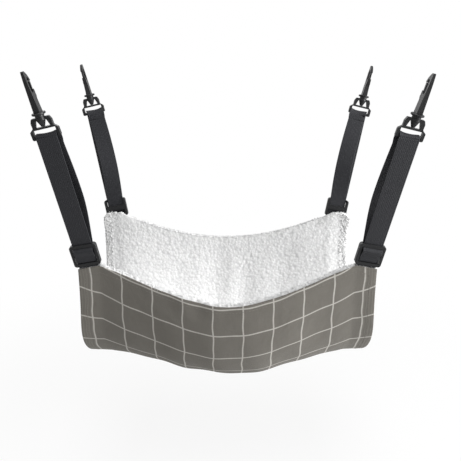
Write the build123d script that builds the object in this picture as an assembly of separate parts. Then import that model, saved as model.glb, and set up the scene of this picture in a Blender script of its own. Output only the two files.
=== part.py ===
"""Cage hammock bed: a two-layer fabric trough hung by four adjustable straps with swivel snap hooks.

Lengths are in millimetres and angles in degrees. X runs along the trough, from left to right, Y points to
the back and Z up. The origin is the middle of the whole bed, level with the lowest point of the trough.
"""

from build123d import *
import math
import os

# Sling: cloth length along the trough, half the gap between the two hems at the straps and how much wider
# each wall swells in the middle, and the heights of its edges
sling_length = 380.0
half_gap = 108.0
wall_swell = 14.0
corner_height = 194.0
front_sag = 50.0
back_sag = 45.0
end_rise = 33.0
section_exponent = 2.6
arcs_per_wall = 4
cover_thickness = 1.2
lining_thickness = 6.0
layer_gap = 0.1

# Stations along half of the trough, as shares of half its length, and how much of the sag and swell and
# of the rise each of them has
station_shares = (0.0, 0.32, 0.52, 0.71, 0.857)
hem_sag_shares = (1.0, 0.77, 0.5, 0.2, 0.0)
floor_rise_shares = (0.0, 0.18, 0.5, 0.82, 0.97)

# Webbing and how each strap leans away from the trough, as a slope on its own height
webbing_width = 25.0
webbing_thickness = 1.2
webbing_edge_inset = 1.2
side_slope = 0.188
outward_slope = 0.117
strap_length = 171.0
ply_gap = 0.2
tab_depth = 22.0
tab_clearance = 0.3
fold_height = 0.8
fold_clearance = 0.05

# Slider: a three-bar frame gripping both plies of the strap
slider_side_rail = 3.5
slider_height = 29.6
slider_corner = 3.6
slider_window_height = 21.0
slider_rail = 2.0
slider_bar_height = 7.0
slider_bar_thickness = 2.2
slider_lift = 2.4
slider_edge_round = 0.6
slider_eyelet = 1.6
webbing_side_clearance = 1.0
webbing_face_clearance = 0.12

# Swivel base: the plate that the webbing loops through and that the hook turns in
base_side_rail = 3.5
base_thickness = 5.0
base_bar_radius = 2.0
bar_loop_clearance = 0.9
loop_ramp = 26.0
base_slot_height = 7.2
base_crossbar = 2.4
base_window_height = 7.6
base_shoulder_inset = 4.5
base_window_inset = 3.5
base_top_wall = 3.9
head_side_clearance = 1.4
base_boss_radius = 5.4
base_boss_height = 3.4
base_corner = 1.8
base_edge_round = 0.6
hook_lean = 2.8

# Snap hook: swivel post, flange, shank and head, turning in the base
post_radius = 2.7
post_clearance = 0.08
post_head_radius = 5.2
post_foot_radius = 2.2
post_head_height = 6.9
post_end_play = 0.25
neck_radius = 5.4
neck_height = 2.6
flange_radius = 8.0
flange_thickness = 2.6
hook_height = 46.0
shank_height = 20.0
shank_half_depth = 5.2
hook_foot_half_width = 3.7
hook_top_half_width = 1.5
hook_spine = 2.8
hook_head_radius = 6.2
hook_nose_height = 10.4
hook_head_offset = 0.8
hook_tip_width = 3.2
hook_tip_inset = 0.9
hook_tip_round = 1.2
hook_nose_bulge = 1.5
tip_drop = 1.0
throat_foot_rise = 5.2

# Gate: a tongue on two pegs that closes the hook's mouth
gate_width = 2.6
gate_thickness = 2.2
gate_peg_radius = 1.2
gate_peg_clearance = 0.08
gate_tip_clearance = 0.35
gate_side_clearance = 0.25
gate_swing_room = 1.8
gate_peg_length = 1.2
gate_grip_height = 0.5
gate_grip_count = 4

cut_overrun = 5.0

half_length = sling_length / 2
hem_peak = station_shares[-1] * half_length
webbing_room = webbing_width + 2 * webbing_side_clearance


# Sling

def share_at(table, share):
    """Value of a table of shares at a place along half of the trough, straight between its stations."""
    for i in range(len(station_shares) - 1):
        low, high = station_shares[i], station_shares[i + 1]
        if share <= high:
            return table[i] + (table[i + 1] - table[i]) * (share - low) / (high - low)
    return table[-1]


def hem_height(x, sag):
    """Height of a hem at x: it sags in the middle and falls square to the strap outside its peak."""
    if abs(x) > hem_peak:
        return corner_height - (abs(x) - hem_peak) * side_slope
    return corner_height - sag * share_at(hem_sag_shares, abs(x) / half_length)


def half_gap_at(x):
    """Half the gap between the hems: the walls swell outward between the hem's two peaks."""
    share = min(abs(x) / half_length, station_shares[-1])
    return half_gap + wall_swell * share_at(hem_sag_shares, share)


def floor_height(x):
    """Height of the trough's lowest line at x."""
    share = abs(x) / half_length
    if share > station_shares[-1]:
        rest = (share - station_shares[-1]) / (1 - station_shares[-1])
        last = floor_rise_shares[-1]
        return end_rise * (last + (1 - last) * rest)
    return end_rise * share_at(floor_rise_shares, share)


def wall_point(x, side, turn, depth):
    """Point of a wall at x, on the front (-1) or back (+1), from hem (0) to floor (90), sunk by depth."""
    drop = hem_height(x, front_sag if side < 0 else back_sag) - floor_height(x)
    gap = half_gap_at(x)
    across = math.cos(math.radians(turn)) ** (2 / section_exponent)
    down = math.sin(math.radians(turn)) ** (2 / section_exponent)
    normal_y = across ** (section_exponent - 1) / gap
    normal_z = down ** (section_exponent - 1) / drop
    size = math.hypot(normal_y, normal_z)
    y = gap * across - depth * normal_y / size
    z = floor_height(x) + drop * (1 - down) + depth * normal_z / size
    return Vector(x, side * y, z)


def wall_line(x, depth):
    """Arcs of one section from the front hem to the back hem, sunk by depth from the outer face."""
    steps = 2 * arcs_per_wall
    front = [wall_point(x, -1, 90 * i / steps, depth) for i in range(steps + 1)]
    back = [wall_point(x, 1, 90 * i / steps, depth) for i in range(steps)]
    points = front + back[::-1]
    return [ThreePointArc(*points[i:i + 3]) for i in range(0, len(points) - 1, 2)]


def section_face(x, outer, inner):
    """Closed section of one layer at x, between two depths under the outer face."""
    low = wall_line(x, outer)
    high = wall_line(x, inner)
    front_end = Line(low[0] @ 0, high[0] @ 0)
    back_end = Line(low[-1] @ 1, high[-1] @ 1)
    return Face(Wire(low + [back_end] + high + [front_end]))


def sling_layer(outer, inner):
    """One layer of the sling: a smooth loft between the hem's two peaks and a straight one past each."""
    half = [share * half_length for share in station_shares]
    places = [-x for x in half[:0:-1]] + half
    layer = loft([section_face(x, outer, inner) for x in places])
    for side in (-1, 1):
        layer += loft([section_face(side * x, outer, inner) for x in (hem_peak, half_length)], ruled=True)
    return layer


# Strap frame at the back right corner: X across the webbing, Y outward and Z up the strap

def unit(x, y, z):
    """Direction of length one."""
    return Vector(x, y, z).normalized()


lining_face = cover_thickness + layer_gap
tab_depth_in_wall = lining_face + tab_clearance + webbing_thickness / 2
strap_x = half_length - webbing_edge_inset - webbing_width / 2
strap_up = unit(side_slope, outward_slope, 1)
strap_across = (Vector(1, 0, 0) - strap_up * Vector(1, 0, 0).dot(strap_up)).normalized()
hem_at_strap = wall_point(strap_x, 1, 0, tab_depth_in_wall)
fold = hem_at_strap + Vector(0, 0, fold_height)
strap_frame = Plane(origin=fold, x_dir=strap_across, z_dir=strap_up)

# The tab follows the wall down from the hem
tab_turn = 90 * math.asin(min(1, tab_depth / (corner_height - end_rise))) / math.pi
tab_foot = wall_point(strap_x, 1, tab_turn, tab_depth_in_wall)
tab_up_raw = (hem_at_strap - tab_foot).normalized()
tab_up = (tab_up_raw - strap_across * tab_up_raw.dot(strap_across)).normalized()
tab_frame = Plane(origin=fold, x_dir=strap_across, z_dir=tab_up)

# The base leans a little further out than the strap, about the webbing's own face
bar_setback = webbing_thickness / 2 + bar_loop_clearance + base_bar_radius
lean = math.radians(hook_lean)
bar_centre = strap_frame.from_local_coords(Vector(0, -bar_setback, strap_length))
hook_up = strap_up * math.cos(lean) + strap_across * math.sin(lean)
hook_across = strap_across * math.cos(lean) - strap_up * math.sin(lean)
hook_frame = Plane(origin=bar_centre, x_dir=hook_across, z_dir=hook_up)


# Straps

tab_top = -webbing_thickness / 2 - fold_clearance


def webbing_tab():
    """Webbing end sewn into the seam below the fold."""
    tab = Box(webbing_width, webbing_thickness, tab_depth, align=(Align.CENTER, Align.CENTER, Align.MAX))
    return tab.moved(Location((0, 0, tab_top)))


def tab_pocket():
    """Room for the webbing end in the lining's outer face, open upwards and outwards."""
    room = Box(webbing_width + 2 * tab_clearance, webbing_thickness + 2 * tab_clearance + cut_overrun,
               tab_depth + tab_clearance + cut_overrun, align=(Align.CENTER, Align.MIN, Align.MAX))
    return room.moved(Location((0, -webbing_thickness / 2 - tab_clearance, tab_top + cut_overrun)))


def long_ply():
    """Outer ply of the strap, from the fold at the hem up to the base's bar."""
    ply = Box(webbing_width, webbing_thickness, strap_length, align=(Align.CENTER, Align.CENTER, Align.MIN))
    fold_round = Cylinder(webbing_thickness / 2, webbing_width, rotation=(0, 90, 0))
    return ply + fold_round


def ply_outline():
    """Side outline of the return ply: over the bar, down a ramp and straight to the slider."""
    centre = -bar_setback
    outer_radius = base_bar_radius + bar_loop_clearance + webbing_thickness
    inner_radius = base_bar_radius + bar_loop_clearance
    near = -webbing_thickness / 2 - ply_gap
    far = near - webbing_thickness
    foot = slider_lift + slider_height / 2
    ramp_foot = strap_length - loop_ramp
    with BuildSketch(Plane.YZ) as outline:
        with BuildLine():
            ThreePointArc((centre + outer_radius, strap_length), (centre, strap_length + outer_radius),
                          (centre - outer_radius, strap_length))
            Polyline((centre - outer_radius, strap_length), (far, ramp_foot), (far, foot), (near, foot),
                     (near, ramp_foot), (centre - inner_radius, strap_length))
            ThreePointArc((centre - inner_radius, strap_length), (centre, strap_length + inner_radius),
                          (centre + inner_radius, strap_length))
            Line((centre + inner_radius, strap_length), (centre + outer_radius, strap_length))
        make_face()
    return outline.sketch


def return_ply():
    """Inner ply of the strap, looped over the base's bar and tucked into the slider."""
    return extrude(ply_outline(), webbing_width / 2, both=True)


# Slider

def slider():
    """Three-bar frame: two rails before the plies and a bar behind them."""
    front = webbing_thickness / 2 + webbing_face_clearance
    back = -webbing_thickness * 1.5 - ply_gap - webbing_face_clearance
    depth = front + slider_rail - back + slider_bar_thickness
    slider_width = webbing_room + 2 * slider_side_rail
    middle = slider_lift + slider_height / 2
    plate = extrude(Plane.XZ * RectangleRounded(slider_width, slider_height, slider_corner), depth)
    plate = plate.moved(Location((0, front + slider_rail, middle)))
    plate = fillet(plate.edges().group_by(Axis.Y)[-1] + plate.edges().group_by(Axis.Y)[0], slider_edge_round)
    window = Box(webbing_room, 2 * depth, slider_window_height).moved(Location((0, 0, middle)))
    channel = Box(webbing_room, front - back, slider_height + cut_overrun)
    channel = channel.moved(Location((0, (front + back) / 2, middle)))
    rear = Box(webbing_room, slider_bar_thickness + cut_overrun, slider_height + cut_overrun,
               align=(Align.CENTER, Align.MAX, Align.CENTER)).moved(Location((0, back, middle)))
    bar = Box(webbing_room + webbing_side_clearance, slider_bar_thickness, slider_bar_height,
              align=(Align.CENTER, Align.MAX, Align.CENTER)).moved(Location((0, back, middle)))
    eyelet_x = slider_width / 2 - slider_corner
    eyelet_z = slider_lift + (slider_height - slider_window_height) / 4
    eyelet = Cylinder(slider_eyelet / 2, 4 * depth, rotation=(90, 0, 0))
    eyelet = eyelet.moved(Location((eyelet_x, 0, eyelet_z)))
    return plate - window - channel - rear + bar - eyelet


# Swivel base

slot_top = base_bar_radius + base_slot_height
window_foot = slot_top + base_crossbar
boss_foot = window_foot + base_window_height
boss_top = boss_foot + base_boss_height
base_half_width = webbing_room / 2 + base_side_rail
shoulder_half_width = base_half_width - base_shoulder_inset
window_top_half_width = post_head_radius + head_side_clearance


def base_outline():
    """Front outline of the base, from the webbing bar up to the swivel boss."""
    foot = -base_bar_radius
    right = [(base_half_width, foot), (base_half_width, slot_top - base_crossbar / 2),
             (shoulder_half_width, window_foot), (shoulder_half_width, boss_foot - base_crossbar / 2),
             (window_top_half_width + base_top_wall, boss_top)]
    left = [(-x, z) for x, z in right[::-1]]
    outline = Plane.XZ * make_face(Polyline(*right, *left, close=True))
    return outline


def swivel_base():
    """Plate with a bar and slot for the webbing, a window for the post's head and a bored boss."""
    plate = extrude(base_outline(), base_thickness / 2, both=True)
    corners = plate.edges().filter_by(Axis.Y)
    plate = fillet(corners, base_corner)
    plate = fillet(plate.faces().filter_by(Axis.Y).edges(), base_edge_round)
    slot = Box(webbing_room, base_thickness + cut_overrun, base_slot_height + 2 * base_bar_radius,
               align=(Align.CENTER, Align.CENTER, Align.MAX)).moved(Location((0, 0, slot_top)))
    slot = slot + Box(webbing_room, base_thickness + cut_overrun, cut_overrun,
                      align=(Align.CENTER, Align.CENTER, Align.MAX)).moved(Location((0, 0, -base_bar_radius)))
    bar = Cylinder(base_bar_radius, webbing_room + base_edge_round, rotation=(0, 90, 0))
    shoulder = shoulder_half_width - base_window_inset
    narrow = window_top_half_width
    window = extrude(Plane.XZ * make_face(Polyline(
        (-shoulder, window_foot), (shoulder, window_foot), (narrow, boss_foot), (-narrow, boss_foot),
        close=True)), base_thickness + cut_overrun, both=True)
    boss = Cylinder(base_boss_radius, base_boss_height,
                    align=(Align.CENTER, Align.CENTER, Align.MIN)).moved(Location((0, 0, boss_foot)))
    bore = Cylinder(post_radius + post_clearance, base_boss_height + cut_overrun).moved(
        Location((0, 0, (boss_foot + boss_top) / 2)))
    return plate - slot - window + bar + boss - bore


# Hook

neck_foot = boss_top + post_end_play
flange_foot = neck_foot + neck_height
hook_foot = flange_foot + flange_thickness
hook_top = hook_foot + hook_height
head_centre_z = hook_top - hook_nose_height
head_centre_y = -hook_head_offset
throat_radius = hook_head_radius - hook_spine
throat_foot = hook_foot + shank_height + throat_foot_rise
tip_foot = head_centre_z - tip_drop
peg_y = head_centre_y - hook_head_radius + gate_thickness / 2
peg_z = hook_foot + shank_height


def hook_side():
    """Side view of the hook: shank, spine and long nose, with the throat between them."""
    back = head_centre_y + hook_head_radius
    front = head_centre_y - hook_head_radius
    foot = -shank_half_depth
    belly = hook_foot + shank_height - gate_thickness
    tip_back = back - hook_tip_inset
    tip_front = tip_back - hook_tip_width
    with BuildSketch(Plane.YZ) as side:
        with BuildLine():
            Polyline((tip_back, hook_top), (back, head_centre_z), (shank_half_depth, hook_foot),
                     (foot, hook_foot), (foot, belly - hook_spine), (front, belly), (front, head_centre_z))
            ThreePointArc((front, head_centre_z),
                          ((front + tip_front) / 2 - hook_nose_bulge, (head_centre_z + hook_top) / 2),
                          (tip_front, hook_top))
            Line((tip_front, hook_top), (tip_back, hook_top))
        make_face()
        fillet(side.vertices().sort_by(Axis.Y)[-2:], hook_tip_round)
        with Locations((head_centre_y, (head_centre_z + throat_foot) / 2)):
            SlotCenterToCenter(head_centre_z - throat_foot, 2 * throat_radius, rotation=90,
                               mode=Mode.SUBTRACT)
    return side.sketch


def hook_front():
    """Front view of the hook: widest at the foot and narrow at the top."""
    return Plane.XZ * make_face(Polyline(
        (-hook_foot_half_width, hook_foot), (hook_foot_half_width, hook_foot),
        (hook_top_half_width, hook_top), (-hook_top_half_width, hook_top), close=True))


def gate_pocket():
    """Room for the gate: the mouth beside the throat, a slit round the gate's foot and the peg holes."""
    front = head_centre_y - hook_head_radius
    mouth_depth = hook_spine + throat_radius
    mouth = Box(4 * hook_foot_half_width, mouth_depth + cut_overrun, tip_foot - throat_foot,
                align=(Align.CENTER, Align.MAX, Align.MIN))
    mouth = mouth.moved(Location((0, head_centre_y, throat_foot)))
    slit_foot = peg_z - gate_thickness / 2 - gate_side_clearance
    slit = Box(gate_width + 2 * gate_side_clearance, gate_thickness + gate_swing_room + cut_overrun,
               throat_foot - slit_foot, align=(Align.CENTER, Align.MAX, Align.MIN))
    slit = slit.moved(Location((0, front + gate_thickness + gate_swing_room, slit_foot)))
    peg_room = gate_width + 2 * gate_peg_length + 2 * gate_side_clearance
    pegs = Cylinder(gate_peg_radius + gate_peg_clearance, peg_room, rotation=(0, 90, 0))
    pegs = pegs.moved(Location((0, peg_y, peg_z)))
    return mouth + slit + pegs


def snap_hook():
    """Hook with its flange, neck and swivel post, whose flared end holds it in the base."""
    body = extrude(hook_side(), hook_foot_half_width, both=True)
    body = body & extrude(hook_front(), 2 * hook_head_radius, both=True)
    body = body - gate_pocket()
    flange = Cylinder(flange_radius, flange_thickness, align=(Align.CENTER, Align.CENTER, Align.MIN))
    flange = chamfer(flange.edges(), flange_thickness / 4).moved(Location((0, 0, flange_foot)))
    neck = Cylinder(neck_radius, neck_height, align=(Align.CENTER, Align.CENTER, Align.MIN))
    neck = neck.moved(Location((0, 0, neck_foot)))
    head_top = boss_foot - post_end_play
    post = Cylinder(post_radius, neck_foot - head_top, align=(Align.CENTER, Align.CENTER, Align.MIN))
    post = post.moved(Location((0, 0, head_top)))
    head = Cone(post_foot_radius, post_head_radius, post_head_height,
                align=(Align.CENTER, Align.CENTER, Align.MAX))
    head = head.moved(Location((0, 0, head_top)))
    return body + flange + neck + post + head


def gate():
    """Tongue from its pegs at the shank up to just under the hook's tip, with a ribbed thumb pad."""
    front = head_centre_y - hook_head_radius
    length = tip_foot - gate_tip_clearance - peg_z
    tongue = Box(gate_width, gate_thickness, length, align=(Align.CENTER, Align.CENTER, Align.MIN))
    tongue = tongue.moved(Location((0, peg_y, peg_z)))
    foot = Cylinder(gate_thickness / 2, gate_width, rotation=(0, 90, 0)).moved(Location((0, peg_y, peg_z)))
    pegs = Cylinder(gate_peg_radius, gate_width + 2 * gate_peg_length, rotation=(0, 90, 0)).moved(
        Location((0, peg_y, peg_z)))
    tongue = tongue + foot + pegs
    pitch = length / (2 * gate_grip_count)
    for i in range(gate_grip_count):
        rib = Cylinder(gate_grip_height, gate_width, rotation=(0, 90, 0))
        tongue = tongue + rib.moved(Location((0, front, peg_z + length / 2 + i * pitch)))
    return tongue


# Assembly: each corner is a mirror image of the back right one

def placed(shape, side_x, side_y):
    """A copy of a back right piece for another corner."""
    if side_x < 0:
        shape = mirror(shape, Plane.YZ)
    if side_y < 0:
        shape = mirror(shape, Plane.XZ)
    return shape


corners = {"back_right": (1, 1), "back_left": (-1, 1), "front_right": (1, -1), "front_left": (-1, -1)}

strap_pieces = {
    "webbing_tab": webbing_tab().moved(tab_frame.location),
    "strap_long_ply": long_ply().moved(strap_frame.location),
    "strap_return_ply": return_ply().moved(strap_frame.location),
    "slider": slider().moved(strap_frame.location),
    "swivel_base": swivel_base().moved(hook_frame.location),
    "snap_hook": snap_hook().moved(hook_frame.location),
    "hook_gate": gate().moved(hook_frame.location),
}

cover = sling_layer(0, cover_thickness)
lining = sling_layer(lining_face, lining_face + lining_thickness)
pocket = tab_pocket().moved(tab_frame.location)

pieces = {}
for corner, (side_x, side_y) in corners.items():
    lining = lining - placed(pocket, side_x, side_y)
    for name, shape in strap_pieces.items():
        pieces[f"{corner}_{name}"] = placed(shape, side_x, side_y)
pieces["outer_cover"] = cover
pieces["fleece_lining"] = lining

os.makedirs("parts", exist_ok=True)
for name, shape in pieces.items():
    export_step(shape, f"parts/{name}.step")
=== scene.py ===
"""Looks of a cage hammock bed: checked cotton and fleece trough, webbing straps, sliders and snap hooks.

Everything is in metres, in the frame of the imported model: X along the trough, Y to the back and Z up.
"""

import logging
import math
from dataclasses import dataclass, field
from enum import Enum
from typing import Callable, Sequence

import bmesh
import bpy
import numpy as np
from mathutils import Matrix, Vector, noise

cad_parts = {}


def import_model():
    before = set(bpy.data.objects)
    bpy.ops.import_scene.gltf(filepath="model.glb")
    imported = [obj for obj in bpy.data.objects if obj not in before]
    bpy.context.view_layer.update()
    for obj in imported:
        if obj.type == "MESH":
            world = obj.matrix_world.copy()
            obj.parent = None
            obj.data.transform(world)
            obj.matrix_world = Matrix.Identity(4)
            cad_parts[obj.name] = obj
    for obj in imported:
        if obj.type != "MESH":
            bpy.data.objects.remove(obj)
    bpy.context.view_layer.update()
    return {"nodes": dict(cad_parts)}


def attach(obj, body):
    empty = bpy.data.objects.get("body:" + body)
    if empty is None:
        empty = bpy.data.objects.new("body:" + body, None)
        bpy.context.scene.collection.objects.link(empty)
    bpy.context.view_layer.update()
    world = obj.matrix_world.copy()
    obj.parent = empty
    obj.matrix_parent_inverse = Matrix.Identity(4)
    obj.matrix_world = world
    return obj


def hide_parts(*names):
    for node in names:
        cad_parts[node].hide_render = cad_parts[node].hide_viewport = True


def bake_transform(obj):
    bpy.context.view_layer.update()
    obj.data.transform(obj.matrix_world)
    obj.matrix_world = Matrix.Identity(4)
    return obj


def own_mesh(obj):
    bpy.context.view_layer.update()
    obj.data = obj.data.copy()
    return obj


LOG = logging.getLogger("hammock_bed")


class Corner(Enum):
    """The four corners, each with the signs of its X and Y."""

    BACK_RIGHT = ("back_right", 1, 1)
    BACK_LEFT = ("back_left", -1, 1)
    FRONT_RIGHT = ("front_right", 1, -1)
    FRONT_LEFT = ("front_left", -1, -1)

    @property
    def label(self) -> str:
        """Name that the corner's nodes begin with."""
        return self.value[0]

    @property
    def signs(self) -> tuple[int, int]:
        """Signs of the corner's X and Y."""
        return self.value[1], self.value[2]


class Wall(Enum):
    """The two long walls of the trough, by the sign of Y."""

    FRONT = -1
    BACK = 1


# Finishes


class Graph:
    """Builder over one material's nodes."""

    def __init__(self, name: str) -> None:
        """Starts a material with a Principled shader.

        Args:
            name: Name of the material.
        """
        self.material = bpy.data.materials.new(name)
        self.material.use_nodes = True
        self.tree = self.material.node_tree
        self.shader = self.tree.nodes["Principled BSDF"]

    def node(self, kind: str, **inputs: object) -> bpy.types.Node:
        """Adds a node and fills its inputs.

        Args:
            kind: Blender's name of the node.
            inputs: Values or sockets, by the input's name with _ for a space.

        Returns:
            The new node.
        """
        made = self.tree.nodes.new(kind)
        for key, value in inputs.items():
            self.feed(made.inputs[key.replace("_", " ")], value)
        return made

    def feed(self, socket: bpy.types.NodeSocket, value: object) -> None:
        """Links a socket to an input or sets the input's value.

        Args:
            socket: Input to fill.
            value: Output socket, number or tuple.
        """
        if isinstance(value, bpy.types.NodeSocket):
            self.tree.links.new(value, socket)
        else:
            socket.default_value = value

    def math(self, operation: str, *values: object) -> bpy.types.NodeSocket:
        """Result of a Math node.

        Args:
            operation: Its operation.
            values: Its one to three inputs.

        Returns:
            The value socket.
        """
        made = self.tree.nodes.new("ShaderNodeMath")
        made.operation = operation
        for socket, value in zip(made.inputs, values):
            self.feed(socket, value)
        return made.outputs[0]

    def band(self, distance: object, half_width: float, soft: float) -> bpy.types.NodeSocket:
        """Mask that is 1 within half_width and fades to 0.

        Args:
            distance: Socket with a distance in metres.
            half_width: Where the mask is at half.
            soft: Width of the fade.

        Returns:
            The mask's socket.
        """
        made = self.tree.nodes.new("ShaderNodeMapRange")
        made.interpolation_type = "SMOOTHSTEP"
        for key, value in (("Value", distance), ("From Min", half_width - soft / 2),
                           ("From Max", half_width + soft / 2), ("To Min", 1.0), ("To Max", 0.0)):
            self.feed(made.inputs[key], value)
        return made.outputs[0]

    def spread(self, value: object, low: float, high: float) -> bpy.types.NodeSocket:
        """Value from 0 to 1 brought to the range low to high.

        Args:
            value: Socket to bring to the range.
            low: Result at 0.
            high: Result at 1.

        Returns:
            The result's socket.
        """
        made = self.node("ShaderNodeMapRange", Value=value, To_Min=low, To_Max=high)
        return made.outputs[0]

    def mix(self, share: object, first: object, second: object) -> bpy.types.NodeSocket:
        """Mix of two colours.

        Args:
            share: Share of the second.
            first: Colour or socket.
            second: Colour or socket.

        Returns:
            The colour socket.
        """
        made = self.tree.nodes.new("ShaderNodeMix")
        made.data_type = "RGBA"
        for index, value in ((0, share), (6, first), (7, second)):
            self.feed(made.inputs[index], value)
        return made.outputs[2]

    def noise(self, where: object, scale: float, detail: float = 3.0) -> bpy.types.NodeSocket:
        """Noise from 0 to 1.

        Args:
            where: Vector socket.
            scale: Repeats per metre.
            detail: Octaves.

        Returns:
            The value socket.
        """
        return self.node("ShaderNodeTexNoise", Vector=where, Scale=scale, Detail=detail).outputs[0]

    def stretched(self, where: object, scale: Sequence[float]) -> bpy.types.NodeSocket:
        """Vector scaled apart on its three axes.

        Args:
            where: Vector socket.
            scale: Three scales.

        Returns:
            The vector socket.
        """
        return self.node("ShaderNodeMapping", Vector=where, Scale=tuple(scale)).outputs[0]

    def object_place(self) -> bpy.types.NodeSocket:
        """Object coordinates."""
        return self.tree.nodes.new("ShaderNodeTexCoord").outputs["Object"]

    def cloth_place(self) -> tuple[bpy.types.NodeSocket, ...]:
        """The cloth's own UV map as vector, U and V, in metres."""
        place = self.tree.nodes.new("ShaderNodeUVMap")
        place.uv_map = "cloth"
        parts = self.node("ShaderNodeSeparateXYZ", Vector=place.outputs[0])
        return place.outputs[0], parts.outputs[0], parts.outputs[1]

    def bump(self, height: object, depth: float, strength: float = 1.0,
             under: object = None) -> bpy.types.NodeSocket:
        """Bump over a height.

        Args:
            height: Socket with a height from 0 to 1.
            depth: Depth of the bump in metres.
            strength: Strength of the bump.
            under: Normal that it lies on.

        Returns:
            The normal socket.
        """
        made = self.node("ShaderNodeBump", Height=height, Distance=depth, Strength=strength)
        if under is not None:
            self.feed(made.inputs["Normal"], under)
        return made.outputs[0]

    def finish(self, colour: object, roughness: object, normal: object,
               **constants: float) -> bpy.types.Material:
        """Joins the maps to the shader.

        Args:
            colour: Base colour.
            roughness: Roughness.
            normal: Normal socket.
            constants: Other inputs of the shader, by name with _ for a space.

        Returns:
            The material.
        """
        self.feed(self.shader.inputs["Base Color"], colour)
        self.feed(self.shader.inputs["Roughness"], roughness)
        self.feed(self.shader.inputs["Normal"], normal)
        for key, value in constants.items():
            self.shader.inputs[key.replace("_", " ")].default_value = value
        return self.material


@dataclass(frozen=True)
class CheckCotton:
    """Plain woven cotton with a light windowpane check in its own threads."""

    ground: tuple[float, float, float, float] = (0.195, 0.184, 0.163, 1.0)
    shade: tuple[float, float, float, float] = (0.150, 0.140, 0.122, 1.0)
    line: tuple[float, float, float, float] = (0.58, 0.56, 0.52, 1.0)
    pitch: float = 0.0388
    first_line: float = 0.0040
    line_width: float = 0.0018
    thread: float = 0.0008
    side_strip: float = 0.1750
    tick_strength: float = 0.14

    def make(self) -> bpy.types.Material:
        """Builds the material.

        Returns:
            The material.
        """
        g = Graph("check_cotton")
        place, along, girth = g.cloth_place()
        upright = g.band(g.math("PINGPONG", g.math("SUBTRACT", along, self.pitch / 2), self.pitch / 2),
                         self.line_width / 2, self.thread)
        level = g.band(g.math("PINGPONG", g.math("SUBTRACT", girth, self.first_line), self.pitch / 2),
                       self.line_width / 2, self.thread)
        strip = g.math("GREATER_THAN", g.math("ABSOLUTE", along), self.side_strip)
        ticks = g.band(g.math("PINGPONG", along, self.line_width), self.thread / 2, self.thread)
        ticks = g.math("MULTIPLY", g.math("MULTIPLY", ticks, strip), self.tick_strength)
        lines = g.math("MAXIMUM", g.math("MAXIMUM", upright, level), ticks)
        slub_along = g.noise(g.stretched(place, (90.0, 1300.0, 1.0)), 1.0, 2.0)
        slub_girth = g.noise(g.stretched(place, (1300.0, 90.0, 1.0)), 1.0, 2.0)
        slubs = g.math("MULTIPLY", g.math("ADD", slub_along, slub_girth), 0.5)
        broken = g.math("MULTIPLY", lines, g.spread(slubs, 0.35, 1.25))
        blotch = g.noise(place, 22.0, 4.0)
        worn = g.math("ADD", g.math("MULTIPLY", slubs, 0.75), g.math("MULTIPLY", blotch, 0.5))
        cloth = g.mix(g.spread(worn, -0.25, 1.05), self.shade, self.ground)
        colour = g.mix(broken, cloth, self.line)
        turn = 2 * math.pi / self.thread
        warp = g.math("SINE", g.math("MULTIPLY", along, turn))
        weft = g.math("SINE", g.math("MULTIPLY", girth, turn))
        weave = g.spread(g.math("MULTIPLY", warp, weft), 0.3, 0.9)
        normal = g.bump(g.math("ADD", weave, slubs), 0.0003, 0.7)
        normal = g.bump(g.noise(place, 60.0, 4.0), 0.0022, 0.45, normal)
        rough = g.spread(slubs, 0.80, 0.98)
        return g.finish(colour, rough, normal, Sheen_Weight=0.08, Specular_IOR_Level=0.2)


@dataclass(frozen=True)
class SherpaFleece:
    """Short curly off-white pile, painted darker in the crevices between the curls as shade."""

    light: tuple[float, float, float, float] = (0.81, 0.81, 0.808, 1.0)
    # Colour of the painted shade in the crevices between curls, and also the dark end of the random mottling.
    deep: tuple[float, float, float, float] = (0.67, 0.67, 0.672, 1.0)
    curl: float = 0.0042

    def make(self) -> bpy.types.Material:
        """Builds the material.

        Returns:
            The material.
        """
        g = Graph("sherpa_fleece")
        where = g.object_place()
        wander = g.node("ShaderNodeTexNoise", Vector=where, Scale=180.0, Detail=2.0).outputs[1]
        bent = g.node("ShaderNodeVectorMath", Vector=where)
        bent.operation = "MULTIPLY_ADD"
        g.feed(bent.inputs[0], wander)
        bent.inputs[1].default_value = (0.003, 0.003, 0.003)
        g.feed(bent.inputs[2], where)
        curls = g.node("ShaderNodeTexVoronoi", Vector=bent.outputs[0], Scale=1 / self.curl)
        crown = g.spread(curls.outputs["Distance"], 1.0, 0.0)
        fibre = g.noise(where, 1500.0, 3.0)
        height = g.math("ADD", crown, g.math("MULTIPLY", fibre, 0.35))
        cloud = g.math("MULTIPLY", g.noise(where, 70.0, 3.0), 0.5)
        # Painted shade: the colour darkens from each curl's crown to the crevices around it, where shadow
        # would fall. Random mottling is added on top.
        depth = g.math("ADD", g.math("MULTIPLY", crown, 0.9), cloud)
        colour = g.mix(g.spread(depth, -0.35, 1.3), self.deep, self.light)
        normal = g.bump(height, 0.0012, 0.5)
        return g.finish(colour, g.spread(fibre, 0.92, 1.0), normal, Sheen_Weight=0.25, Specular_IOR_Level=0.1)


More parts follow.
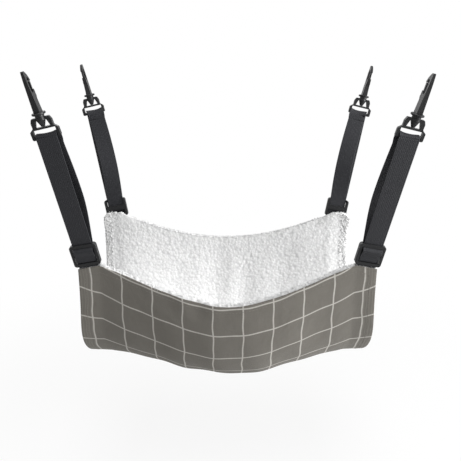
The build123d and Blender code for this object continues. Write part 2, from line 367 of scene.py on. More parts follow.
@dataclass(frozen=True)
class Webbing:
    """Woven black webbing with lengthwise ribs and a tight selvedge."""

    black: tuple[float, float, float, float] = (0.010, 0.0103, 0.0122, 1.0)
    worn: tuple[float, float, float, float] = (0.034, 0.035, 0.041, 1.0)
    rib: float = 0.0021
    pick: float = 0.0009
    half_width: float = 0.0125

    def make(self) -> bpy.types.Material:
        """Builds the material.

        Returns:
            The material.
        """
        g = Graph("black_webbing")
        place, across, along = g.cloth_place()
        rib = g.math("SINE", g.math("MULTIPLY", across, 2 * math.pi / self.rib))
        lean = g.math("ADD", g.math("MULTIPLY", along, 2 * math.pi / self.pick),
                      g.math("MULTIPLY", g.math("SINE", g.math("MULTIPLY", across, math.pi / self.rib)), 1.6))
        pick = g.math("SINE", lean)
        threads = g.math("ADD", g.math("MULTIPLY", rib, 0.6), g.math("MULTIPLY", pick, 0.4))
        weave = g.spread(threads, 0.25, 0.75)
        edge = g.band(g.math("SUBTRACT", self.half_width, g.math("ABSOLUTE", across)), 0.0011, 0.0008)
        fuzz = g.noise(g.stretched(place, (900.0, 160.0, 1.0)), 1.0, 3.0)
        worn = g.math("ADD", g.math("MULTIPLY", fuzz, 0.7), g.math("MULTIPLY", edge, 0.25))
        colour = g.mix(g.math("MULTIPLY", g.math("ADD", worn, weave), 0.5), self.black, self.worn)
        normal = g.bump(g.math("ADD", weave, g.math("MULTIPLY", edge, 0.5)), 0.0004, 0.8)
        rough = g.spread(fuzz, 0.48, 0.70)
        return g.finish(colour, rough, normal, Sheen_Weight=0.04, Specular_IOR_Level=0.28)


@dataclass(frozen=True)
class MouldedPlastic:
    """Satin black moulded plastic with a fine grain and faint scuffs."""

    black: tuple[float, float, float, float] = (0.007, 0.0072, 0.0080, 1.0)
    scuffed: tuple[float, float, float, float] = (0.022, 0.0225, 0.024, 1.0)

    def make(self) -> bpy.types.Material:
        """Builds the material.

        Returns:
            The material.
        """
        g = Graph("black_plastic")
        where = g.object_place()
        grain = g.noise(where, 2600.0, 2.0)
        cloud = g.noise(where, 160.0, 4.0)
        scratch = g.noise(g.stretched(where, (260.0, 2600.0, 700.0)), 1.0, 3.0)
        scuff = g.band(g.math("ABSOLUTE", g.math("SUBTRACT", scratch, 0.5)), 0.02, 0.02)
        colour = g.mix(g.math("ADD", g.math("MULTIPLY", scuff, 0.35), g.math("MULTIPLY", cloud, 0.3)),
                       self.black, self.scuffed)
        roughness = g.math("ADD", g.spread(cloud, 0.30, 0.48), g.math("MULTIPLY", scuff, 0.08))
        normal = g.bump(grain, 0.00008, 0.6)
        return g.finish(colour, roughness, normal, Specular_IOR_Level=0.32)


@dataclass(frozen=True)
class SewingThread:
    """Twisted sewing thread."""

    colour: tuple[float, float, float, float] = (0.26, 0.245, 0.215, 1.0)
    dark: tuple[float, float, float, float] = (0.15, 0.14, 0.12, 1.0)

    def make(self) -> bpy.types.Material:
        """Builds the material.

        Returns:
            The material.
        """
        g = Graph("sewing_thread")
        twist = g.noise(g.stretched(g.object_place(), (2400.0, 900.0, 2400.0)), 1.0, 2.0)
        colour = g.mix(twist, self.dark, self.colour)
        return g.finish(colour, g.spread(twist, 0.7, 0.9), g.bump(twist, 0.0002))


# The trough's form, as the solids have it


@dataclass(frozen=True)
class TroughForm:
    """Form that both cloths hang in: a superellipse section that changes along the trough."""

    half_length: float = 0.190
    half_gap: float = 0.108
    wall_swell: float = 0.014
    corner_height: float = 0.194
    front_sag: float = 0.049
    back_sag: float = 0.045
    end_rise: float = 0.033
    exponent: float = 2.6
    side_slope: float = 0.188
    stations: tuple[float, ...] = (0.0, 0.32, 0.52, 0.71, 0.857)
    hem_sags: tuple[float, ...] = (1.0, 0.77, 0.5, 0.2, 0.0)
    back_sags: tuple[float, ...] = (1.0, 0.86, 0.62, 0.30, 0.0)
    floor_rises: tuple[float, ...] = (0.0, 0.27, 0.55, 0.81, 0.96)
    floor_shift: float = 0.012
    samples: int = 721

    def share(self, table: Sequence[float], x: float) -> float:
        """Smooth value of a table of shares at x, the same on both halves.

        Args:
            table: Shares at the stations.
            x: Place along the trough.

        Returns:
            The share there.
        """
        places = np.concatenate([-np.array(self.stations[:0:-1]), self.stations])
        values = np.concatenate([np.array(table)[:0:-1], table])
        slopes = np.gradient(values, places)
        at = float(np.clip(abs(x) / self.half_length, 0, self.stations[-1]))
        i = int(np.clip(np.searchsorted(places, at) - 1, 0, len(places) - 2))
        span = places[i + 1] - places[i]
        t = (at - places[i]) / span
        low, high = values[i], values[i + 1]
        rise_low, rise_high = slopes[i] * span, slopes[i + 1] * span
        return float(low * (1 + 2 * t) * (1 - t) ** 2 + high * t * t * (3 - 2 * t)
                     + rise_low * t * (1 - t) ** 2 - rise_high * t * t * (1 - t))

    def hem_height(self, x: float, wall: Wall) -> float:
        """Height of a wall's hem at x.

        Args:
            x: Place along the trough.
            wall: Which wall.

        Returns:
            The height.
        """
        peak = self.stations[-1] * self.half_length
        if abs(x) > peak:
            return self.corner_height - (abs(x) - peak) * self.side_slope
        if wall is Wall.FRONT:
            return self.corner_height - self.front_sag * self.share(self.hem_sags, x)
        return self.corner_height - self.back_sag * self.share(self.back_sags, x)

    def half_gap_at(self, x: float) -> float:
        """Half the gap between the hems, whose walls swell outward in the middle.

        Args:
            x: Place along the trough.

        Returns:
            The distance.
        """
        return self.half_gap + self.wall_swell * self.share(self.hem_sags, x)

    def floor_height(self, x: float) -> float:
        """Height of the trough's lowest line at x.

        Args:
            x: Place along the trough.

        Returns:
            The height.
        """
        share = abs(x) / self.half_length
        if share > self.stations[-1]:
            rest = (share - self.stations[-1]) / (1 - self.stations[-1])
            return self.end_rise * (self.floor_rises[-1] + (1 - self.floor_rises[-1]) * rest)
        shift = self.floor_shift * (1 - share / self.stations[-1])
        return self.end_rise * self.share(self.floor_rises, x - shift)

    def section(self, x: float) -> tuple[np.ndarray, np.ndarray, np.ndarray, np.ndarray, np.ndarray]:
        """Outer line of the section at x, from the front hem to the back hem.

        Args:
            x: Place along the trough.

        Returns:
            Length run, Y, Z and the inward normal's Y and Z at each sample.
        """
        turn = np.radians(np.linspace(0, 180, self.samples))
        front = turn <= math.pi / 2
        floor, half_gap = self.floor_height(x), self.half_gap_at(x)
        drop = np.where(front, self.hem_height(x, Wall.FRONT), self.hem_height(x, Wall.BACK)) - floor
        side = np.where(front, -1.0, 1.0)
        across = np.abs(np.cos(turn)) ** (2 / self.exponent)
        down = np.abs(np.sin(turn)) ** (2 / self.exponent)
        y = side * half_gap * across
        z = floor + drop * (1 - down)
        normal_y = across ** (self.exponent - 1) / half_gap
        normal_z = down ** (self.exponent - 1) / drop
        size = np.hypot(normal_y, normal_z)
        run = np.concatenate([[0], np.cumsum(np.hypot(np.diff(y), np.diff(z)))])
        return run, y, z, -side * normal_y / size, normal_z / size

    def hang(self, flat: np.ndarray,
             drape: Callable[[np.ndarray, np.ndarray], np.ndarray]) -> tuple[np.ndarray, np.ndarray]:
        """Hangs points of a flat cloth in the trough.

        Args:
            flat: Points as X, share of the girth from the front hem, and depth under the outer face.
            drape: Gives how far the cloth stands in from the plain form, from X and share.

        Returns:
            The hung points, and each point's distance from the front hem along the cloth.
        """
        hung, girth = np.zeros_like(flat), np.zeros(len(flat))
        columns, which = np.unique(np.round(flat[:, 0], 7), return_inverse=True)
        order = np.argsort(which, kind="stable")
        bounds = np.searchsorted(which[order], np.arange(len(columns) + 1))
        lift = drape(flat[:, 0], flat[:, 1])
        for i, x in enumerate(columns):
            rows = order[bounds[i]:bounds[i + 1]]
            run, y, z, normal_y, normal_z = self.section(float(x))
            at = flat[rows, 1] * run[-1]
            depth = flat[rows, 2] + lift[rows]
            inside = np.clip(at, 0, run[-1])
            over = np.maximum(-at, 0) + np.maximum(at - run[-1], 0)
            hung[rows, 0] = flat[rows, 0]
            hung[rows, 1] = np.interp(inside, run, y) + depth * np.interp(inside, run, normal_y)
            hung[rows, 2] = np.interp(inside, run, z) + depth * np.interp(inside, run, normal_z) + over
            girth[rows] = at
        return hung, girth


class Mesh:
    """Steps from a bmesh to a finished object."""

    @staticmethod
    def slab(width: float, length: float, thickness: float, cells: tuple[int, int], rim: float,
             steps: int) -> bmesh.types.BMesh:
        """Flat slab of cloth with a rounded rim, centred in X and Y, its top at Z 0.

        Args:
            width: Size along X.
            length: Size along Y.
            thickness: Thickness downwards.
            cells: Faces along X and Y.
            rim: How much is taken off the rim's corners.
            steps: Segments of the rounding.

        Returns:
            The new bmesh.
        """
        bm = bmesh.new()
        bmesh.ops.create_grid(bm, x_segments=cells[0], y_segments=cells[1], size=0.5)
        bmesh.ops.scale(bm, vec=Vector((width, length, 1)), verts=bm.verts)
        bmesh.ops.recalc_face_normals(bm, faces=bm.faces)
        around = [e for e in bm.edges if e.is_boundary]
        made = bmesh.ops.extrude_face_region(bm, geom=list(bm.faces))
        low = [v for v in made["geom"] if isinstance(v, bmesh.types.BMVert)]
        bmesh.ops.translate(bm, vec=Vector((0, 0, -thickness)), verts=low)
        tops = [e for e in around if e.is_valid]
        lows = [e for e in bm.edges if all(v.co.z < -thickness / 2 for v in e.verts)
                and any(abs(f.normal.z) < 0.5 for f in e.link_faces)]
        bm.normal_update()
        edges = dict.fromkeys(tops + lows)
        rims = [e for e in edges if len(e.link_faces) == 2 and e.calc_face_angle(0) > 0.8]
        bmesh.ops.bevel(bm, geom=rims, offset=rim, offset_type="OFFSET", segments=steps, profile=0.5,
                        affect="EDGES", material=-1, clamp_overlap=True)
        bmesh.ops.recalc_face_normals(bm, faces=bm.faces)
        return bm

    @staticmethod
    def places(bm: bmesh.types.BMesh) -> np.ndarray:
        """Places of a bmesh's vertices.

        Args:
            bm: The bmesh.

        Returns:
            One row per vertex.
        """
        return np.array([v.co for v in bm.verts], float).reshape(-1, 3)

    @staticmethod
    def move(bm: bmesh.types.BMesh, places: np.ndarray) -> None:
        """Moves a bmesh's vertices.

        Args:
            bm: The bmesh.
            places: One row per vertex.
        """
        for v, place in zip(bm.verts, places):
            v.co = place

    @staticmethod
    def lay_uv(bm: bmesh.types.BMesh, u: np.ndarray, v: np.ndarray) -> None:
        """Gives each vertex its place on the cloth as the UV map.

        Args:
            bm: The bmesh.
            u: One U per vertex, in metres.
            v: One V per vertex, in metres.
        """
        layer = bm.loops.layers.uv.new("cloth")
        bm.verts.index_update()
        for face in bm.faces:
            for loop in face.loops:
                loop[layer].uv = (u[loop.vert.index], v[loop.vert.index])

    @staticmethod
    def finish(bm: bmesh.types.BMesh, name: str, material: bpy.types.Material) -> bpy.types.Object:
        """Makes a smooth-shaded object of a bmesh.

        Args:
            bm: The bmesh, which is freed.
            name: Name of the piece.
            material: Its material.

        Returns:
            The new object.
        """
        data = bpy.data.meshes.new(name)
        for face in bm.faces:
            face.smooth = True
        bm.to_mesh(data)
        bm.free()
        data.materials.append(material)
        made = bpy.data.objects.new(name, data)
        bpy.context.scene.collection.objects.link(made)
        return made


# Sling


@dataclass
class Sling:
    """The trough's two cloths with their hems and stitching."""

    form: TroughForm = field(default_factory=TroughForm)
    cover_thickness: float = 0.0012
    lining_depth: float = 0.0014
    lining_thickness: float = 0.0058
    cloth_width: float = 0.380
    cloth_girth: float = 0.445
    strap_inset: float = 0.0137
    strap_reach: float = 0.022
    hem_lift: float = 0.0006
    line_slope: float = 0.75
    line_reach: float = 0.018
    line_tail: float = 0.00065
    back_spread: float = 0.010
    front_spread: float = 0.007
    crease: float = 0.0055
    crease_place: float = 0.008
    crease_round: float = 0.012
    valley: float = 0.0022
    lip_reach: float = 0.020
    front_lip: float = 0.0020
    back_lip: float = 0.0085
    lip_lean: float = 0.0008
    strap_lean: float = 0.0045
    end_inset: float = 0.0008
    corner_rise: float = 0.0065
    corner_reach: float = 0.040
    corner_round: float = 0.013
    tuft_reach: float = 0.0035
    tuft_length: float = 0.0016
    tuft_seed: int = 7
    clump: float = 0.0044
    clump_height: float = 0.0012
    stitch_length: float = 0.0030
    stitch_pitch: float = 0.0042
    stitch_row: float = 0.0085

    def drape(self, x: np.ndarray, share: np.ndarray) -> np.ndarray:
        """Soft folds of the hung cloth.

        Args:
            x: Places along the trough.
            share: Shares of the girth.

        Returns:
            How far the cloth stands in.
        """
        half = self.form.half_length
        middle = np.clip(1 - (np.abs(x) / (half * 0.93)) ** 4, 0, 1)
        wall = np.sin(np.pi * np.clip(share, 0, 1)) ** 0.8
        front = np.exp(-((share - 0.22) / 0.2) ** 2)
        pulls = 0.0011 * np.sin(x * 61 + 5 * share + 0.4) + 0.0008 * np.sin(x * 113 - 9 * share + 2.1)
        sway = 0.0012 * np.sin(x * 27 + 1.3) * front + 0.0007 * np.sin(share * 31 + x * 17)
        by_hem = np.exp(-(share / 0.06) ** 2) * np.exp(-((x + 0.045) / 0.05) ** 2)
        hem = 0.0010 * np.sin(x * 150 + 0.9) * by_hem
        away = np.hypot(x - self.crease_place, self.crease_round) / half
        ridge = middle * np.clip(1 - away, 0, 1) * np.exp(-(np.clip(share - 0.15, 0, 1) / 0.20) ** 2)
        on_back = np.exp(-((share - 0.80) / 0.16) ** 2)
        valley = self.valley * np.exp(-((x - self.crease_place) / 0.016) ** 2) * on_back
        return middle * (wall * (pulls + sway) + hem + valley) - self.crease * ridge

    def near_strap(self, x: np.ndarray) -> np.ndarray:
        """Share, up to 1, of how much a place along the hem is by a strap.

        Args:
            x: Places along the trough.

        Returns:
            The shares.
        """
        strap = self.form.half_length - self.strap_inset
        return np.clip(1.5 - np.abs(np.abs(x) - strap) / self.strap_reach, 0, 1)

    def hang(self, bm: bmesh.types.BMesh, raise_hem: np.ndarray | None = None) -> None:
        """Hangs a flat slab in the trough and lays its UV map.

        Args:
            bm: Slab with X along the trough, Y from front to back and Z the height over the outer face.
            raise_hem: How far each vertex is raised, if any is.
        """
        flat = Mesh.places(bm)
        flat[:, 1] = flat[:, 1] / self.cloth_girth + 0.5
        hung, girth = self.form.hang(flat, self.drape)
        if raise_hem is not None:
            hung[:, 2] += raise_hem
        past_peak = np.abs(flat[:, 0]) - self.form.stations[-1] * self.form.half_length
        climb = (past_peak + np.hypot(past_peak, self.line_reach)) / 2 - self.line_tail
        wave = 0.0006 * np.sin(flat[:, 0] * 71 + 1.1) + 0.0004 * np.sin(flat[:, 0] * 163 + flat[:, 1] * 9)
        pattern = girth + self.line_slope * np.maximum(climb, 0) * (1 - 2 * flat[:, 1]) + wave
        back = np.clip((flat[:, 1] - 0.48) / 0.26, 0, 1)
        belly = np.exp(-((flat[:, 1] - 0.27) / 0.13) ** 2)
        spread = self.back_spread * back * back * (3 - 2 * back) + self.front_spread * belly
        hung[:, 0] += spread * np.sign(flat[:, 0]) * (np.abs(flat[:, 0]) / self.form.half_length) ** 3
        lean = 0.0005 * np.sin(girth * 83 + flat[:, 0] * 21) + 0.0004 * np.sin(girth * 190 + 2.0)
        Mesh.lay_uv(bm, flat[:, 0] + lean, pattern)
        Mesh.move(bm, hung)
        bmesh.ops.recalc_face_normals(bm, faces=bm.faces)

    def hem_share(self, y: np.ndarray, reach: float) -> np.ndarray:
        """1 at both hems and 0 further than reach from them.

        Args:
            y: Places across the flat cloth.
            reach: How far the hem reaches.

        Returns:
            The shares.
        """
        away = self.cloth_girth / 2 - np.abs(y)
        t = np.clip(1 - away / reach, 0, 1)
        return t * t * (3 - 2 * t)

    def cover(self, material: bpy.types.Material) -> bpy.types.Object:
        """The checked cotton cover.

        Args:
            material: Its finish.

        Returns:
            The piece.
        """
        bm = Mesh.slab(self.cloth_width, self.cloth_girth, self.cover_thickness, (150, 150),
                       self.cover_thickness * 0.4, 2)
        places = Mesh.places(bm)
        places[:, 2] += self.cover_thickness
        hem = self.hem_share(places[:, 1], 0.010)
        Mesh.move(bm, places)
        self.hang(bm, hem * self.near_strap(places[:, 0]) * self.hem_lift)
        return Mesh.finish(bm, "check_cotton_cover", material)

    def lining(self, material: bpy.types.Material) -> bpy.types.Object:
        """The fleece lining, with its clumps of pile and soft lips.

        Args:
            material: Its finish.

        Returns:
            The piece.
        """
        bm = Mesh.slab(self.cloth_width - 2 * self.end_inset, self.cloth_girth, self.lining_thickness,
                       (200, 222), self.lining_thickness * 0.42, 3)
        places = Mesh.places(bm)
        above = places[:, 2] + self.lining_thickness
        inner = np.clip(above / self.lining_thickness, 0, 1)
        places[:, 2] = above + self.lining_depth
        lip = self.hem_share(places[:, 1], self.lip_reach)
        back = places[:, 1] > 0
        rise = lip * np.where(back, self.back_lip * (0.7 + 0.3 * inner) + self.corner(places[:, 0]),
                              self.front_lip * inner)
        places[:, 2] += lip * back * (self.lip_lean + self.strap_lean * self.near_strap(places[:, 0]))
        Mesh.move(bm, places)
        self.hang(bm, rise)
        bm.normal_update()
        for v, share in zip(bm.verts, inner):
            if share > 0.35:
                near = noise.voronoi(v.co / self.clump)[0][0]
                fine = noise.noise(v.co / (self.clump * 0.45))
                v.co += v.normal * share * self.clump_height * (0.55 - near + 0.35 * fine)
        return Mesh.finish(bm, "sherpa_fleece_lining", material)

    def corner(self, x: np.ndarray) -> np.ndarray:
        """How the fleece's back lip climbs towards its two corners and rounds off there.

        Args:
            x: Places along the trough.

        Returns:
            The extra height of the lip.
        """
        left = np.maximum(self.cloth_width / 2 - self.end_inset - np.abs(x), 0)
        t = np.clip(1 - left / self.corner_reach, 0, 1)
        over = np.clip(1 - left / self.corner_round, 0, 1)
        rounding = self.corner_round * (1 - np.sqrt(1 - over * over))
        return self.corner_rise * t * t * (3 - 2 * t) - rounding

    def fuzz(self, lining: bpy.types.Object, material: bpy.types.Material) -> bpy.types.Object:
        """Tufts of pile that stand out from the lining's rims.

        Args:
            lining: The finished lining.
            material: Its finish.

        Returns:
            The piece.
        """
        bm = bmesh.new()
        bm.from_mesh(lining.data)
        bm.faces.ensure_lookup_table()
        half = self.form.half_length
        keep = []
        for face in bm.faces:
            centre = face.calc_center_median()
            by_end = half - abs(centre.x) < self.tuft_reach
            rim = by_end or centre.z > self.edge_height(centre) - self.tuft_reach
            keep.append(rim and noise.noise(centre * 900) > 0.05 and self.faces_in(centre, face.normal))
        bmesh.ops.delete(bm, geom=[f for f, kept in zip(bm.faces, keep) if not kept], context="FACES")
        made = bmesh.ops.extrude_discrete_faces(bm, faces=list(bm.faces))
        bm.normal_update()
        # Without a seed, noise_vector differs each run
        noise.seed_set(self.tuft_seed)
        for face in made["faces"]:
            centre = face.calc_center_median()
            wander = noise.noise_vector(centre * 700)
            tip = centre + face.normal * self.tuft_length + wander * self.tuft_length * 0.8
            for v in face.verts:
                v.co = tip + (v.co - centre) * 0.22
        return Mesh.finish(bm, "sherpa_fleece_tufts", material)

    def edge_height(self, place: Vector) -> float:
        """Height of the fleece's lip above a place.

        Args:
            place: A point of the cloth.

        Returns:
            The height.
        """
        if place.y < 0:
            return self.form.hem_height(place.x, Wall.FRONT) + self.front_lip
        corner = float(self.corner(np.array([place.x]))[0])
        return self.form.hem_height(place.x, Wall.BACK) + self.back_lip + corner

    def faces_in(self, place: Vector, normal: Vector) -> bool:
        """Whether a face looks into the trough or up.

        Args:
            place: Middle of the face.
            normal: Its normal.

        Returns:
            True where tufts may grow.
        """
        return abs(normal.x) < 0.6 and (normal.z > 0.25 or place.y * normal.y < 0)

    def stitches(self, material: bpy.types.Material) -> bpy.types.Object:
        """Rows of topstitching under both hems and beside both open ends of the cover.

        Args:
            material: The thread's finish.

        Returns:
            The piece.
        """
        bm = bmesh.new()
        half_x, half_y = self.cloth_width / 2, self.cloth_girth / 2
        rows = [(True, side * (half_y - self.stitch_row), half_x) for side in (-1, 1)]
        rows += [(False, side * (half_x - self.stitch_row), half_y) for side in (-1, 1)]
        for lengthwise, place, half in rows:
            count = int(2 * (half - self.stitch_row) / self.stitch_pitch)
            for i in range(count):
                at = -half + self.stitch_row + (i + 0.5) * 2 * (half - self.stitch_row) / count
                made = bmesh.ops.create_uvsphere(bm, u_segments=6, v_segments=4, radius=0.5)
                turn = Matrix.Rotation(math.pi / 2, 4, "Y" if lengthwise else "X")
                where = Vector((at, place, -0.0001) if lengthwise else (place, at, -0.0001))
                bmesh.ops.scale(bm, vec=Vector((0.0006, 0.0006, self.stitch_length)), verts=made["verts"])
                bmesh.ops.transform(bm, matrix=Matrix.Translation(where) @ turn, verts=made["verts"])
        self.hang(bm)
        return Mesh.finish(bm, "cover_topstitching", material)

    def build(self, cotton: bpy.types.Material, fleece: bpy.types.Material,
              thread: bpy.types.Material) -> None:
        """Builds the cloths, hides their solids and places them on the sling's body.

        Args:
            cotton: Finish of the cover.
            fleece: Finish of the lining.
            thread: Finish of the stitching.
        """
        cover, lining = self.cover(cotton), self.lining(fleece)
        tufts, stitches = self.fuzz(lining, fleece), self.stitches(thread)
        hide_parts("outer_cover")
        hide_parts("fleece_lining")
        for piece, slot in ((cover, "check_cotton"), (lining, "sherpa_fleece"), (tufts, "sherpa_fleece"),
                            (stitches, "check_cotton")):
            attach(piece, "sling")
            LOG.info("%s: %d faces", piece.name, len(piece.data.polygons))


# Straps


@dataclass(frozen=True)
class StrapFrame:
    """Frame of one strap: X across the webbing, Y outward and Z up it, for the back right corner."""

    fold: tuple[float, float, float] = (0.1763, 0.1058, 0.192268)
    up: tuple[float, float, float] = (0.188, 0.117, 1.0)
    hook_lean: float = math.radians(2.8)
    length: float = 0.171
    bar_setback: float = 0.0035

    def matrix(self) -> Matrix:
        """Matrix from the strap's frame to the row frame."""
        up = Vector(self.up).normalized()
        across = (Vector((1, 0, 0)) - up * up.x).normalized()
        out = up.cross(across)
        turn = Matrix((across, out, up)).transposed().to_4x4()
        return Matrix.Translation(self.fold) @ turn

    def to_corner(self, corner: Corner) -> Matrix:
        """Matrix from the strap's frame to a corner of the row frame.

        Args:
            corner: The corner.

        Returns:
            The matrix, a mirror image for some corners.
        """
        side_x, side_y = corner.signs
        return Matrix.Diagonal((side_x, side_y, 1, 1)) @ self.matrix()


@dataclass
class PlyPath:
    """Middle line of a ply of webbing in the strap's frame, with its twist."""

    points: list[Vector]
    twists: list[float]
    steps: int = 120

    def trace(self) -> tuple[np.ndarray, np.ndarray, np.ndarray, np.ndarray]:
        """Smooth line through the points.

        Returns:
            Length run, places, directions across and normals along the line.
        """
        marks = np.array([tuple(p) for p in self.points])
        knots = np.concatenate([[0], np.cumsum(np.linalg.norm(np.diff(marks, axis=0), axis=1))])
        slopes = np.gradient(marks, knots, axis=0)
        at = np.linspace(0, knots[-1], self.steps)
        i = np.clip(np.searchsorted(knots, at) - 1, 0, len(knots) - 2)
        span = (knots[i + 1] - knots[i])[:, None]
        t = (at - knots[i])[:, None] / span
        places = (marks[i] * (1 + 2 * t) * (1 - t) ** 2 + marks[i + 1] * t * t * (3 - 2 * t)
                  + slopes[i] * span * t * (1 - t) ** 2 - slopes[i + 1] * span * t * t * (1 - t))
        run = np.concatenate([[0], np.cumsum(np.linalg.norm(np.diff(places, axis=0), axis=1))])
        ahead = np.gradient(places, run, axis=0)
        ahead /= np.linalg.norm(ahead, axis=1)[:, None]
        twist = np.interp(at, knots, self.twists)
        across = np.stack([np.cos(twist), np.sin(twist), np.zeros_like(twist)], 1)
        across -= ahead * (across * ahead).sum(1)[:, None]
        across /= np.linalg.norm(across, axis=1)[:, None]
        return run, places, across, np.cross(ahead, across)


@dataclass
class Strap:
    """The visible webbing of one corner's strap."""

    corner: Corner
    frame: StrapFrame = field(default_factory=StrapFrame)
    width: float = 0.025
    thickness: float = 0.0012
    ply_gap: float = 0.0002
    loop_radius: float = 0.0035
    slider_middle: float = 0.0172
    slider_travel: float = 0.118
    split: float = 0.160
    bow: float = 0.0034
    lateral: float = 0.0060
    loop_lateral: float = 0.0028
    twist: float = 0.20
    tab_depth: float = 0.020
    hump: tuple[tuple[float, float], ...] = (
        (-0.0101, 0.0010), (-0.0075, 0.0013), (-0.0040, 0.0017), (-0.0008, 0.0023), (0.0018, 0.0034),
        (0.0040, 0.0047), (0.0060, 0.0052), (0.0079, 0.0044), (0.0093, 0.0026), (0.0101, 0.0010))

    def ribbon(self, path: PlyPath, name: str, material: bpy.types.Material) -> bpy.types.Object:
        """A ply of webbing along a path.

        Args:
            path: Its middle line.
            name: End of the piece's name.
            material: Its finish.

        Returns:
            The piece, at its corner.
        """
        run, places, across, normals = path.trace()
        length = float(run[-1])
        cells = (12, max(8, int(length / 0.0022)))
        bm = Mesh.slab(self.width, length, self.thickness, cells, self.thickness * 0.42, 2)
        flat = Mesh.places(bm)
        at = flat[:, 1] + length / 2
        lift = (flat[:, 2] + self.thickness / 2)[:, None]
        spot = np.stack([np.interp(at, run, places[:, k]) for k in range(3)], 1)
        side = np.stack([np.interp(at, run, across[:, k]) for k in range(3)], 1)
        face = np.stack([np.interp(at, run, normals[:, k]) for k in range(3)], 1)
        local = spot + flat[:, :1] * side + lift * face
        Mesh.lay_uv(bm, flat[:, 0], at)
        Mesh.move(bm, local)
        bmesh.ops.transform(bm, matrix=self.frame.to_corner(self.corner), verts=bm.verts)
        bmesh.ops.recalc_face_normals(bm, faces=bm.faces)
        return Mesh.finish(bm, f"{self.corner.label}_{name}", material)

    def place(self, x: float, y: float, z: float) -> tuple[float, float, float]:
        """A point of the strap's frame in the row frame, at this corner.

        Args:
            x: Across.
            y: Outward.
            z: Up the strap.

        Returns:
            The point.
        """
        return tuple(self.frame.to_corner(self.corner) @ Vector((x, y, z)))

    def long_path(self) -> PlyPath:
        """Outer ply: straight up from the fold to the bar."""
        top = self.frame.length
        count = 9
        points = [Vector((0, 0, top * i / (count - 1))) for i in range(count)]
        return PlyPath(points, [0.0] * count)

    def return_path(self) -> PlyPath:
        """Inner ply: from the slider, bowing and twisting a little, up to the foot of the loop."""
        near = -self.thickness - self.ply_gap
        far = -self.frame.bar_setback - self.loop_radius
        foot, top = self.slider_middle, self.split
        count = 17
        points, twists = [], []
        for i in range(count):
            share = i / (count - 1)
            belly = math.sin(math.pi * share) ** 2
            settle = min(1.0, share / 0.55)
            settle = settle * settle * (3 - 2 * settle)
            y = near + (far - near) * settle - self.bow * belly
            more = (self.lateral - self.loop_lateral) * math.sin(math.pi * share)
            aside = self.loop_lateral * settle + more
            points.append(Vector((-aside, y, foot + (top - foot) * share)))
            twists.append(-self.twist * belly)
        return PlyPath(points, twists)

    def loop_path(self) -> PlyPath:
        """Loop over the bar, from the inner ply to the outer one."""
        centre, top = -self.frame.bar_setback, self.frame.length
        points = [Vector((-self.loop_lateral, centre - self.loop_radius, self.split))]
        for i in range(9):
            turn = math.pi * (1 - i / 8)
            aside = self.loop_lateral * (1 - i / 8) ** 2
            points.append(Vector((-aside, centre + self.loop_radius * math.cos(turn),
                                  top + self.loop_radius * math.sin(turn))))
        return PlyPath(points, [0.0] * len(points))

    def hump_path(self) -> PlyPath:
        """Webbing that shows between the slider's rails, pulled tight round its bar."""
        points = [Vector((0, out, self.slider_middle + up)) for up, out in self.hump]
        return PlyPath(points, [0.0] * len(points))

    def tab_path(self) -> PlyPath:
        """End of the webbing between the two cloths, below the fold."""
        points = [Vector((0, -0.05 * drop, -drop)) for drop in np.linspace(self.tab_depth, 0.0007, 6)]
        return PlyPath(points, [0.0] * 6)

    def build(self, webbing: bpy.types.Material) -> None:
        """Builds and places the strap's plies.

        Args:
            webbing: Their finish.
        """
        name = self.corner.label
        tab = self.ribbon(self.tab_path(), "webbing_end", webbing)
        long_ply = self.ribbon(self.long_path(), "webbing_outer_ply", webbing)
        return_ply = self.ribbon(self.return_path(), "webbing_inner_ply", webbing)
        loop = self.ribbon(self.loop_path(), "webbing_bar_loop", webbing)
        hump = self.ribbon(self.hump_path(), "webbing_slider_turn", webbing)
        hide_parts(f"{name}_webbing_tab")
        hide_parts(f"{name}_strap_long_ply")
        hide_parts(f"{name}_strap_return_ply")
        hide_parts(f"{name}_strap_return_ply")
        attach(tab, "sling")
        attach(return_ply, f"{name}_loop")
        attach(loop, f"{name}_loop")
        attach(hump, f"{name}_slider_body")
        self.place(0, 0, 0.004)
        self.place(0, 0, self.frame.length)
        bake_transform(long_ply)
        up = Vector(self.place(0, 0, 1)) - Vector(self.place(0, 0, 0))
        self.place(0, 0, self.split)
        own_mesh(return_ply)
        LOG.info("%s strap: %d plies", name, 5)


@dataclass
class Hardware:
    """Sliders, swivel bases, snap hooks and gates, which keep their solids' shapes."""

    kinds: tuple[str, ...] = ("slider", "swivel_base", "snap_hook", "hook_gate")

    def dress(self, nodes: dict[str, bpy.types.Object], plastic: bpy.types.Material) -> None:
        """Gives the moulded pieces their finish.

        Args:
            nodes: The frame's nodes by name.
            plastic: The finish.
        """
        for corner in Corner:
            for kind in self.kinds:
                node = nodes[f"{corner.label}_{kind}"]
                node.data.materials.clear()
                node.data.materials.append(plastic)
        LOG.info("hardware: %d pieces dressed", len(Corner) * len(self.kinds))


# Studio


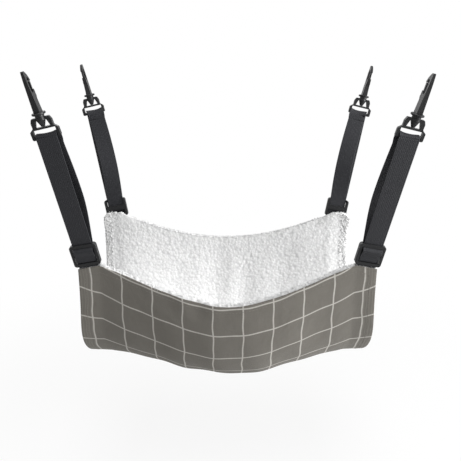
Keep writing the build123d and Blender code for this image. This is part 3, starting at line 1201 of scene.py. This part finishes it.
@dataclass
class Studio:
    """Floor, light and camera."""

    floor_drop: float = -0.16
    camera_place: tuple[float, float, float] = (-0.0080, -0.7554, 0.4566)
    pitch: float = math.radians(18.38)
    yaw: float = math.radians(-0.94)
    roll: float = math.radians(0.31)
    lens: float = 550 * 36 / 461
    surroundings: float = 0.17
    shadow_share: float = 0.16
    shadow_reach: float = 0.55
    shadow_fade: float = 0.60

    def white_to_eye(self, tree: bpy.types.NodeTree, lit: bpy.types.NodeSocket,
                     output: bpy.types.NodeSocket, kind: str, strength: float) -> None:
        """Shows white to the camera and to gloss, and something else to the light.

        Args:
            tree: Node tree of a material or world.
            lit: What the other rays meet.
            output: Surface input of the output.
            kind: Blender's name of the white shader's node.
            strength: How white it is.
        """
        path = tree.nodes.new("ShaderNodeLightPath")
        seen = tree.nodes.new("ShaderNodeMath")
        seen.operation = "MAXIMUM"
        also = tree.nodes.new("ShaderNodeMath")
        also.operation = "MAXIMUM"
        tree.links.new(path.outputs["Is Camera Ray"], seen.inputs[0])
        tree.links.new(path.outputs["Is Glossy Ray"], seen.inputs[1])
        tree.links.new(seen.outputs[0], also.inputs[0])
        tree.links.new(path.outputs["Is Transmission Ray"], also.inputs[1])
        white = tree.nodes.new(kind)
        white.inputs["Color"].default_value = (1, 1, 1, 1)
        white.inputs["Strength"].default_value = strength
        mix = tree.nodes.new("ShaderNodeMixShader")
        tree.links.new(also.outputs[0], mix.inputs[0])
        tree.links.new(lit, mix.inputs[1])
        tree.links.new(white.outputs[0], mix.inputs[2])
        tree.links.new(mix.outputs[0], output)

    def world(self) -> None:
        """Pale even surroundings, white to the camera."""
        world = bpy.data.worlds.new("studio")
        bpy.context.scene.world = world
        world.use_nodes = True
        tree = world.node_tree
        sky = tree.nodes["Background"]
        sky.inputs["Color"].default_value = (1, 1, 1, 1)
        sky.inputs["Strength"].default_value = self.surroundings
        output = tree.nodes["World Output"].inputs[0]
        self.white_to_eye(tree, sky.outputs[0], output, "ShaderNodeBackground", 1.0)

    def floor(self) -> None:
        """Pale floor under the hanging bed."""
        bm = bmesh.new()
        bmesh.ops.create_grid(bm, x_segments=1, y_segments=1, size=6)
        bmesh.ops.translate(bm, vec=Vector((0, 0, self.floor_drop)), verts=bm.verts)
        g = Graph("pale_floor")
        tone = g.noise(g.object_place(), 3.0, 2.0)
        colour = g.mix(tone, (0.90, 0.90, 0.90, 1), (0.93, 0.93, 0.93, 1))
        material = g.finish(colour, 0.9, g.bump(tone, 0.0001))
        output = g.tree.nodes["Material Output"].inputs[0]
        shadow = g.shader.outputs[0]
        mix = g.tree.nodes.new("ShaderNodeMixShader")
        path = g.tree.nodes.new("ShaderNodeLightPath")
        white = g.node("ShaderNodeEmission", Color=(1, 1, 1, 1), Strength=1.0)
        away = g.node("ShaderNodeVectorMath", Vector=g.object_place())
        away.operation = "LENGTH"
        near = g.band(away.outputs["Value"], self.shadow_reach, self.shadow_fade)
        seen_white = g.math("SUBTRACT", 1.0, g.math("MULTIPLY", near, self.shadow_share))
        g.feed(mix.inputs[0], g.math("MULTIPLY", path.outputs["Is Camera Ray"], seen_white))
        g.feed(mix.inputs[1], shadow)
        g.feed(mix.inputs[2], white.outputs[0])
        g.feed(output, mix.outputs[0])
        Mesh.finish(bm, "studio_floor", material)

    def lamp(self, name: str, place: Sequence[float], size: float, power: float) -> None:
        """A soft square lamp that looks at the bed.

        Args:
            name: Name of the lamp.
            place: Where it stands.
            size: Its side.
            power: Its power in watts.
        """
        data = bpy.data.lights.new(name, "AREA")
        data.shape, data.size, data.energy = "SQUARE", size, power
        lamp = bpy.data.objects.new(name, data)
        lamp.location = place
        lamp.rotation_euler = (Vector((0, 0, 0.15)) - Vector(place)).to_track_quat("-Z", "Y").to_euler()
        bpy.context.scene.collection.objects.link(lamp)

    def camera(self) -> None:
        """Camera at the photograph's angle."""
        data = bpy.data.cameras.new("camera")
        data.lens, data.sensor_width = self.lens, 36
        camera = bpy.data.objects.new("camera", data)
        turn = (Matrix.Rotation(self.yaw, 4, "Z") @ Matrix.Rotation(math.pi / 2 - self.pitch, 4, "X")
                @ Matrix.Rotation(self.roll, 4, "Z"))
        camera.matrix_world = Matrix.Translation(self.camera_place) @ turn
        bpy.context.scene.collection.objects.link(camera)
        bpy.context.scene.camera = camera

    def build(self) -> None:
        """Sets up the studio."""
        bpy.context.scene.view_settings.view_transform = "Standard"
        self.camera()
        self.world()
        self.floor()
        self.lamp("key_lamp", (2.1, -0.75, 0.60), 1.0, 62.0)
        self.lamp("top_lamp", (0.0, -0.30, 1.7), 1.2, 15.0)
        self.lamp("back_lamp", (-0.6, 1.6, 1.2), 1.2, 8.0)


def main() -> None:
    """Builds the studio and the bed's looks."""
    logging.basicConfig(level=logging.INFO, format="%(name)s: %(message)s")
    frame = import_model()
    Studio().build()
    thread = SewingThread().make()
    webbing = Webbing().make()
    Sling().build(CheckCotton().make(), SherpaFleece().make(), thread)
    for corner in Corner:
        Strap(corner).build(webbing)
    Hardware().dress(frame["nodes"], MouldedPlastic().make())


if __name__ == "__main__":
    main()
